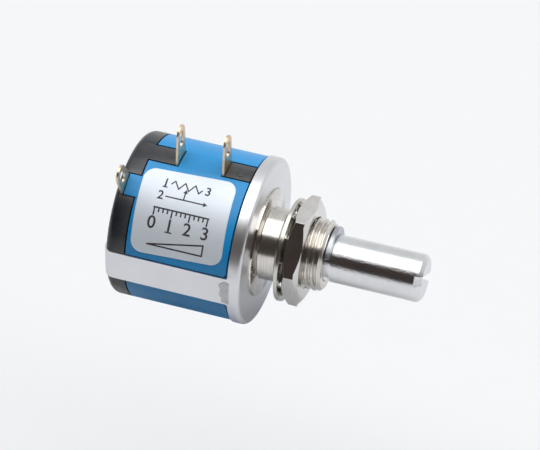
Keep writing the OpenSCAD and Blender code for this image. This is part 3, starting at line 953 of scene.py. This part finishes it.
class POT_OT_shaft(bpy.types.Operator):
    """Finish the control shaft and set the depth of its screwdriver slot"""

    bl_idname = "pot.shaft"
    bl_label = "Shaft"

    def execute(self, context):
        steel = metal(
            "Ground steel",
            (0.72, 0.73, 0.74),
            (0.86, 0.87, 0.88),
            0.15,
            marks=0.4,
            fineness=12.0,
            grit=0.6,
        )
        finish_copy("shaft", steel, edge=0.06 * MM, reshape=self.raise_slot_floor)
        return {"FINISHED"}

    def raise_slot_floor(self, shaft):
        """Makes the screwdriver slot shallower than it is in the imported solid."""
        floor = set()
        for face in shaft.data.polygons:
            below_end = SHAFT_END_X - face.center.x
            if face.normal.x > 0.99 and 0.6 * MM < below_end < 2.2 * MM:
                floor.update(face.vertices)
        for index in floor:
            shaft.data.vertices[index].co.x = SHAFT_END_X - SLOT_DEPTH


class POT_OT_fasteners(bpy.types.Operator):
    """Finish the nut, the toothed washer and the retaining ring"""

    bl_idname = "pot.fasteners"
    bl_label = "Nut, washer and ring"

    def execute(self, context):
        nickel = metal(
            "Nickel nut", (0.68, 0.66, 0.64), (0.88, 0.86, 0.83), 0.14, fineness=5.0
        )
        plated = metal(
            "Plated washer", (0.60, 0.58, 0.53), (0.74, 0.72, 0.67), 0.22, turned=False
        )
        zinc = metal(
            "Zinc ring",
            (0.32, 0.35, 0.38),
            (0.56, 0.59, 0.62),
            0.26,
            turned=False,
            grit=0.6,
        )
        finish_copy("mounting_nut", nickel, edge=0.1 * MM, angle=20.0)
        finish_copy("lock_washer", plated, edge=0.06 * MM)
        finish_copy("retaining_ring", zinc, edge=0.09 * MM)
        return {"FINISHED"}


class POT_OT_terminals(bpy.types.Operator):
    """Finish the solder terminals, the collector rail and the slip ring"""

    bl_idname = "pot.terminals"
    bl_label = "Terminals"

    def execute(self, context):
        gold = metal(
            "Thin gold plate",
            (0.72, 0.54, 0.36),
            (0.88, 0.72, 0.50),
            0.34,
            marks=0.4,
            turned=False,
        )
        for node in ("terminal_1", "terminal_2", "terminal_3"):
            finish_copy(node, gold)
        for node in ("collector_rail", "slip_ring"):
            dress(node, gold)
        return {"FINISHED"}


class POT_OT_label(bpy.types.Operator):
    """Finish the foil label and print it"""

    bl_idname = "pot.label"
    bl_label = "Label"

    def execute(self, context):
        look = settings("pot_label")
        finish_copy("label", self.foil(), edge=0.02 * MM)
        if look.show_print:
            self.print_marks(look)
        return {"FINISHED"}

    def foil(self):
        """White coated foil with a slight metallic sheen."""
        material, tree, shader = new_material("Coated foil")
        skin = effect(tree, "Fine grain", Scale=5.0)
        tint(tree, shader, (0.76, 0.83, 0.91), (0.82, 0.88, 0.95), skin.outputs["Mask"])
        sheen = maths(tree, "MULTIPLY", skin.outputs["Mask"], 0.5)
        tree.links.new(sheen, shader.inputs["Metallic"])
        vary_roughness(tree, shader, 0.42, 0.5, skin.outputs["Mask"])
        bump(tree, shader, skin.outputs["Height"], 0.05, MARK_DEPTH)
        return material

    def print_marks(self, look):
        """Prints all marks of the label as one thin layer."""
        marks = self.circuit_symbol() + self.turn_scale() + self.wedge()
        select_only(marks[0])
        for mark in marks:
            mark.select_set(True)
        bpy.ops.object.join()
        layer = bpy.context.active_object
        self.wrap(layer)
        ink = plastic(
            "Label ink", mixed(look.ink, 0.8), mixed(look.ink, 1.3), 0.5, scale=9.0
        )
        layer.data.materials.clear()
        layer.data.materials.append(ink)
        place_piece(layer, "label_print", "case", "foil_label")

    def circuit_symbol(self):
        """Zigzag of the element, the wiper's arrow and the terminal numbers."""
        # Sizes and places on the label's plane, in millimetres
        line, digit = 0.17, 1.2
        element_y, wiper_x, wiper_y = 3.75, -9.6, 1.95
        zigzag = [(-11.75, element_y)]
        zigzag += [
            (-11.35 + 0.68 * i, element_y + (0.5, -0.5)[i % 2]) for i in range(6)
        ]
        zigzag += [(-7.6, element_y)]
        marks = self.stroke(zigzag, line)
        marks += self.stroke([(wiper_x, wiper_y), (wiper_x, 3.0)], line)
        marks += self.arrow((wiper_x, 3.35), (0, 1))
        marks += self.stroke([(-12.0, wiper_y), (-6.9, wiper_y)], line)
        marks += self.arrow((-6.45, wiper_y), (1, 0))
        marks += self.number("1", -12.5, element_y, digit)
        marks += self.number("3", -6.8, element_y, digit)
        marks += self.number("2", -12.7, wiper_y, digit)
        return marks

    def turn_scale(self):
        """Scale of three turns, parted into quarters and numbered from nought."""
        # Sizes and places on the label's plane, in millimetres
        line, top = 0.2, 0.3
        first, quarter_w, turns = -13.0, 0.6, 3
        marks = []
        for quarter in range(4 * turns + 1):
            x = first + quarter * quarter_w
            tall = 0.95 if quarter % 4 == 0 else 0.5
            marks += self.stroke([(x, top), (x, top - tall)], line)
        marks += self.stroke([(LABEL_LEFT, top), (LABEL_RIGHT, top)], line)
        for count in range(turns + 1):
            marks += self.number(str(count), first + count * 4 * quarter_w, -1.75, 1.7)
        return marks

    def wedge(self):
        """Outline of a wedge that rises to the right."""
        low, high = -4.6, -3.2
        tip = (LABEL_LEFT, low)
        return self.stroke([tip, (LABEL_RIGHT, low), (LABEL_RIGHT, high), tip], 0.2)

    def stroke(self, points, width):
        """Flat bars from point to point, in millimetres on the label's plane."""
        bars = []
        for (x0, y0), (x1, y1) in zip(points, points[1:]):
            span = math.hypot(x1 - x0, y1 - y0)
            bpy.ops.mesh.primitive_plane_add(
                size=1,
                location=((x0 + x1) / 2 * MM, (y0 + y1) / 2 * MM, 0),
                rotation=(0, 0, math.atan2(y1 - y0, x1 - x0)),
            )
            bar = bpy.context.active_object
            bar.scale = ((span + width * 0.8) * MM, width * MM, 1)
            apply_place(bar)
            bars.append(bar)
        return bars

    def arrow(self, tip, way):
        """Filled arrowhead with its tip at a place on the label."""
        bpy.ops.mesh.primitive_circle_add(
            vertices=3,
            radius=0.36 * MM,
            fill_type="NGON",
            location=((tip[0] - way[0] * 0.3) * MM, (tip[1] - way[1] * 0.3) * MM, 0),
            rotation=(0, 0, math.atan2(way[1], way[0]) - math.pi / 2),
        )
        head = bpy.context.active_object
        apply_place(head)
        return [head]

    def number(self, digits, x, y, tall):
        """A printed number, centred at a place on the label; a one gets a foot."""
        bpy.ops.object.text_add(location=(x * MM, y * MM, 0))
        text = bpy.context.active_object
        text.data.body = digits
        text.data.size = tall * 1.35 * MM
        text.data.align_x = "CENTER"
        text.data.align_y = "CENTER"
        text.data.offset = 0.025 * MM
        bpy.ops.object.convert(target="MESH")
        made = bpy.context.active_object
        apply_place(made)
        if digits != "1":
            return [made]
        foot = y - tall * 0.48
        bar = self.stroke([(x - tall * 0.2, foot), (x + tall * 0.25, foot)], 0.16)
        return [made] + bar

    def wrap(self, layer):
        """Cuts the flat print into narrow strips and lays it on the round label."""
        strips, strip_w = 14, 0.38 * MM
        print_r = LABEL_R + 0.012 * MM
        start_edit(layer, "FACE")
        for cut in range(-strips, strips + 1):
            bpy.ops.mesh.select_all(action="SELECT")
            bpy.ops.mesh.bisect(plane_co=(0, cut * strip_w, 0), plane_no=(0, 1, 0))
        end_edit()
        for vertex in layer.data.vertices:
            clock = LABEL_CLOCK - vertex.co.y / LABEL_R
            vertex.co = Vector((vertex.co.x, 0, 0)) + outward_at(clock) * print_r
        start_edit(layer, "FACE")
        bpy.ops.mesh.select_all(action="SELECT")
        bpy.ops.mesh.normals_make_consistent(inside=False)
        end_edit()
        for face in layer.data.polygons:
            outward = Vector((0, face.center.y, face.center.z))
            if face.normal.dot(outward) < 0:
                face.flip()
        apply_modifier(layer, "SOLIDIFY", thickness=0.01 * MM, offset=-1.0)


class POT_OT_inner_pieces(bpy.types.Operator):
    """Finish the pieces that the housing encloses"""

    bl_idname = "pot.inner_pieces"
    bl_label = "Inner pieces"

    def wound_wire(self):
        """Fine resistance wire, wound turn beside turn round the curved rod."""
        low, high = (0.42, 0.24, 0.13), (0.62, 0.40, 0.24)
        windings = 480.0
        material = metal("Wound wire", low, high, 0.35, turned=False)
        tree = material.node_tree
        _, y, z = axes_of(tree)
        clock = maths(tree, "ARCTAN2", y, z)
        wave = maths(tree, "SINE", maths(tree, "MULTIPLY", clock, windings))
        bump(tree, tree.nodes["Principled BSDF"], wave, 0.8, SKIN_DEPTH)
        return material

    def execute(self, context):
        wire = self.wound_wire()
        spring = metal("Bronze spring", (0.62, 0.38, 0.2), (0.74, 0.5, 0.3), 0.25)
        bearing = metal("Turned bronze", (0.5, 0.35, 0.18), (0.6, 0.44, 0.25), 0.28)
        washer = metal("Washer steel", (0.55, 0.56, 0.57), (0.66, 0.67, 0.68), 0.3)
        fibre = plastic("Pressed fibre", (0.36, 0.24, 0.12), (0.5, 0.36, 0.2), 0.7)
        drum = plastic("Rotor moulding", (0.56, 0.46, 0.28), (0.66, 0.56, 0.36), 0.45)
        block = plastic("Carriage moulding", (0.7, 0.66, 0.58), (0.8, 0.77, 0.7), 0.4)
        for node, material in (
            ("resistance_element", wire),
            ("collector_brush", spring),
            ("wiper_contact", spring),
            ("rail_contact", spring),
            ("rear_bearing", bearing),
            ("thrust_washer", washer),
            ("rotor_pin", washer),
            ("shim_washer", fibre),
            ("rotor", drum),
            ("wiper_carriage", block),
        ):
            dress(node, material)
        return {"FINISHED"}


class POT_OT_stage(bpy.types.Operator):
    """Lay the floor, light the room and set the camera"""

    bl_idname = "pot.stage"
    bl_label = "Stage"

    def execute(self, context):
        stage = settings("pot_stage")
        self.lay_floor(stage)
        self.light_room(stage)
        self.set_camera(context)
        context.scene.view_settings.view_transform = "Standard"
        return {"FINISHED"}

    def lay_floor(self, stage):
        """Lays the floor, and under the piece a paler table that only metal sees."""
        paint = self.floor_paint("Pale floor", stage.floor_color, 0.44)
        self.plane("floor", -stage.floor_drop, paint)
        paint = self.floor_paint("Table", (0.76, 0.77, 0.79), 1.0)
        table = self.plane("table_seen_in_metal", -BODY_R - 2.5 * MM, paint)
        for kind in ("camera", "diffuse", "transmission", "shadow", "volume_scatter"):
            setattr(table, "visible_" + kind, False)

    def plane(self, name, z, paint):
        bpy.ops.object.select_all(action="DESELECT")
        bpy.ops.mesh.primitive_plane_add(size=4.0, location=(0, 0, z))
        plane = bpy.context.active_object
        plane.name = name
        apply_place(plane)
        plane.data.materials.append(paint)
        return plane

    def floor_paint(self, name, color, bounce):
        """Matt paint that throws back less light than it shows to the camera."""
        material, tree, shader = new_material(name)
        speck = effect(tree, "Fine grain", Scale=0.05)
        shown = drift(tree, mixed(color, 0.995), color, speck.outputs["Mask"])
        seen = add(tree, "ShaderNodeLightPath").outputs["Is Camera Ray"]
        paint = mix_colors(tree, seen, (*mixed(color, bounce), 1), shown)
        tree.links.new(paint, shader.inputs["Base Color"])
        shader.inputs["Roughness"].default_value = 0.9
        shader.inputs["Specular IOR Level"].default_value = 0.1
        return material

    def light_room(self, stage):
        """Room seen by direction: soft box overhead, pale behind, dark in front."""
        # Extent of the soft box, as distances across over the height above
        box_side, box_depth, box_middle = 1.3, 0.53, 0.03
        dark_front, pale_back = (0.046, 0.036, 0.032), (0.70, 0.71, 0.72)
        pale_floor, nothing = (0.72, 0.73, 0.74), (0.0, 0.0, 0.0)
        world = bpy.data.worlds.new("Soft room")
        bpy.context.scene.world = world
        world.use_nodes = True
        tree = world.node_tree
        x, y, z = axes_of(tree, "Generated")
        height = maths(tree, "MAXIMUM", z, 0.001)
        side = maths(tree, "ABSOLUTE", maths(tree, "DIVIDE", x, height))
        depth = maths(tree, "DIVIDE", y, height)
        offset = maths(tree, "ABSOLUTE", maths(tree, "SUBTRACT", depth, box_middle))
        box = maths(
            tree,
            "MULTIPLY",
            self.fade(tree, side, box_side, 0.15),
            self.fade(tree, offset, box_depth, 0.03),
        )
        behind = ramp(
            tree, [(0.46, dark_front), (0.56, pale_back)], self.half(tree, y)
        )
        below = ramp(tree, [(0.49, pale_floor), (0.51, nothing)], self.half(tree, z))
        room = mix_colors(tree, 1.0, behind, below, blend_type="LIGHTEN")
        strength = stage.box_strength
        lit = mix_colors(tree, box, room, (strength, strength, strength, 1))
        tree.links.new(lit, tree.nodes["Background"].inputs["Color"])

    def half(self, tree, axis):
        """Carries an axis from -1..1 to 0..1."""
        return maths(tree, "ADD", maths(tree, "MULTIPLY", axis, 0.5), 0.5)

    def fade(self, tree, value, edge, width):
        """One inside the edge, falling to nothing over a width."""
        return map_range(tree, value, (edge - width, edge + width), (1.0, 0.0))

    def set_camera(self, context):
        azimuth, elevation, roll = (
            math.radians(angle)
            for angle in (CAMERA_AZIMUTH, CAMERA_ELEVATION, CAMERA_ROLL)
        )
        back = Vector(
            (
                math.sin(azimuth) * math.cos(elevation),
                -math.cos(azimuth) * math.cos(elevation),
                math.sin(elevation),
            )
        )
        right = Vector((math.cos(azimuth), math.sin(azimuth), 0))
        up = back.cross(right)
        turned_right = right * math.cos(roll) + up * math.sin(roll)
        turned_up = back.cross(turned_right)
        camera = bpy.data.cameras.new("camera")
        camera.lens = CAMERA_LENS
        camera.sensor_width = 36.0
        camera.clip_start = 0.01
        camera.clip_end = 20.0
        holder = bpy.data.objects.new("camera", camera)
        context.scene.collection.objects.link(holder)
        axes = Matrix((turned_right, turned_up, back)).transposed().to_4x4()
        place = Matrix.Translation(CAMERA_TARGET + back * CAMERA_DISTANCE)
        holder.matrix_world = place @ axes
        context.scene.camera = holder


class POT_PT_panel(bpy.types.Panel):
    """Lists the sizes, the colours and the operators"""

    bl_label = "Potentiometer"
    bl_idname = "POT_PT_panel"
    bl_space_type = "VIEW_3D"
    bl_region_type = "UI"
    bl_category = "Potentiometer"

    def draw(self, context):
        layout = self.layout
        for name in SETTINGS:
            box = layout.box()
            group = settings(name)
            for key in group.bl_rna.properties.keys():
                if key not in ("rna_type", "name"):
                    box.prop(group, key)
        for operator in OPERATORS:
            layout.operator(operator.bl_idname)


SETTINGS = {
    "pot_body": PotBodySettings,
    "pot_thread": PotThreadSettings,
    "pot_label": PotLabelSettings,
    "pot_stage": PotStageSettings,
}
OPERATORS = (
    POT_OT_stage,
    POT_OT_moulded_body,
    POT_OT_lid,
    POT_OT_bushing,
    POT_OT_shaft,
    POT_OT_fasteners,
    POT_OT_terminals,
    POT_OT_label,
    POT_OT_inner_pieces,
)


def register():
    for group in SETTINGS.values():
        bpy.utils.register_class(group)
    for name, group in SETTINGS.items():
        setattr(bpy.types.Scene, name, PointerProperty(type=group))
    for operator in OPERATORS:
        bpy.utils.register_class(operator)
    bpy.utils.register_class(POT_PT_panel)


def unregister():
    bpy.utils.unregister_class(POT_PT_panel)
    for operator in reversed(OPERATORS):
        bpy.utils.unregister_class(operator)
    for name in SETTINGS:
        delattr(bpy.types.Scene, name)
    for group in SETTINGS.values():
        bpy.utils.unregister_class(group)


def main():
    register()
    for operator in OPERATORS:
        category, name = operator.bl_idname.split(".")
        getattr(getattr(bpy.ops, category), name)()


if __name__ == "__main__":
    main()
